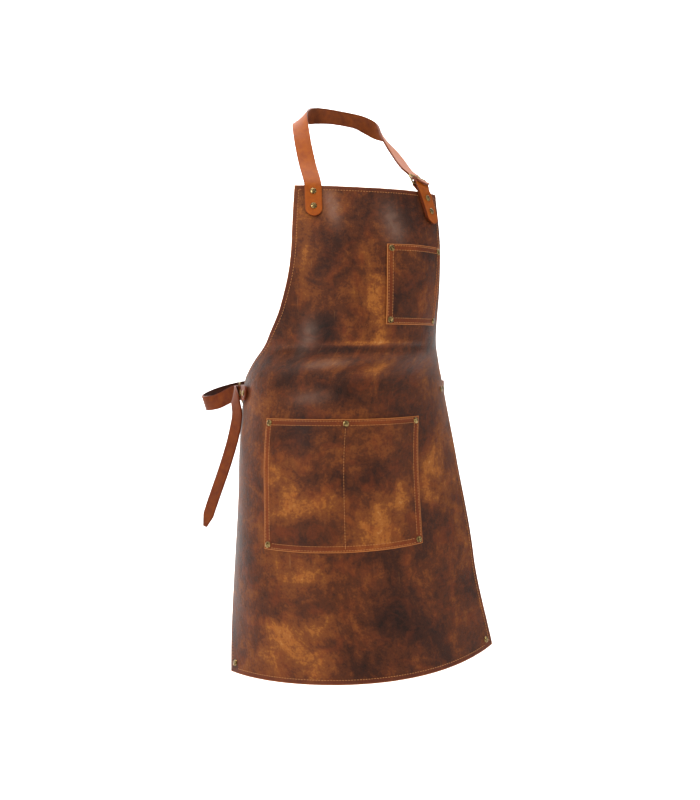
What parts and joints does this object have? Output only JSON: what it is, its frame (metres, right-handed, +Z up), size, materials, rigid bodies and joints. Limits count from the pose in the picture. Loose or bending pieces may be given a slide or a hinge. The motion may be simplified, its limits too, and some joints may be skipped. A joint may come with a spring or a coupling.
{
  "type": "leather blacksmith apron",
  "caption": "Full-length leather work apron in its worn form: narrow bib, wide skirt, chest and waist patch pockets, riveted neck and waist straps with brass buckles",
  "frame": {"origin": "inner face of the neck strap where it rests on the nape", "axes": "+Z up along the apron's length, +X towards the wearer's left, front facing -Y"},
  "size_m": [0.4602, 0.4103, 0.9357],
  "materials": {
    "hide_leather": "oiled full-grain hide, worn and clouded",
    "pocket_leather": "oiled full-grain hide, lighter at the stitched borders",
    "strap_leather": "smooth tan bridle leather, dark inside",
    "aged_brass": "antiqued brass, rubbed bright at the edges"
  },
  "bodies": {
    "root": {"apron_panel": "hide_leather", "chest_pocket": "pocket_leather", "waist_pocket": "pocket_leather", "neck_strap": "strap_leather", "neck_tab": "strap_leather", "neck_buckle_frame": "aged_brass", "neck_buckle_prong": "aged_brass", "waist_strap": "strap_leather", "waist_tab": "strap_leather", "waist_buckle_frame": "aged_brass", "waist_buckle_prong": "aged_brass", "neck_strap_rivet_upper": "aged_brass", "neck_strap_rivet_lower": "aged_brass", "neck_tab_rivet_upper": "aged_brass", "neck_tab_rivet_lower": "aged_brass", "waist_tab_rivet_outer": "aged_brass", "waist_tab_rivet_inner": "aged_brass", "waist_strap_rivet_outer": "aged_brass", "waist_strap_rivet_inner": "aged_brass", "chest_pocket_rivet_top_right": "aged_brass", "chest_pocket_rivet_top_left": "aged_brass", "chest_pocket_rivet_low_right": "aged_brass", "chest_pocket_rivet_low_left": "aged_brass", "waist_pocket_rivet_top_right": "aged_brass", "waist_pocket_rivet_top_left": "aged_brass", "waist_pocket_rivet_low_right": "aged_brass", "waist_pocket_rivet_low_left": "aged_brass", "waist_pocket_rivet_middle": "aged_brass", "hem_rivet_right": "aged_brass", "hem_rivet_left": "aged_brass"}
  },
  "joints": []
}
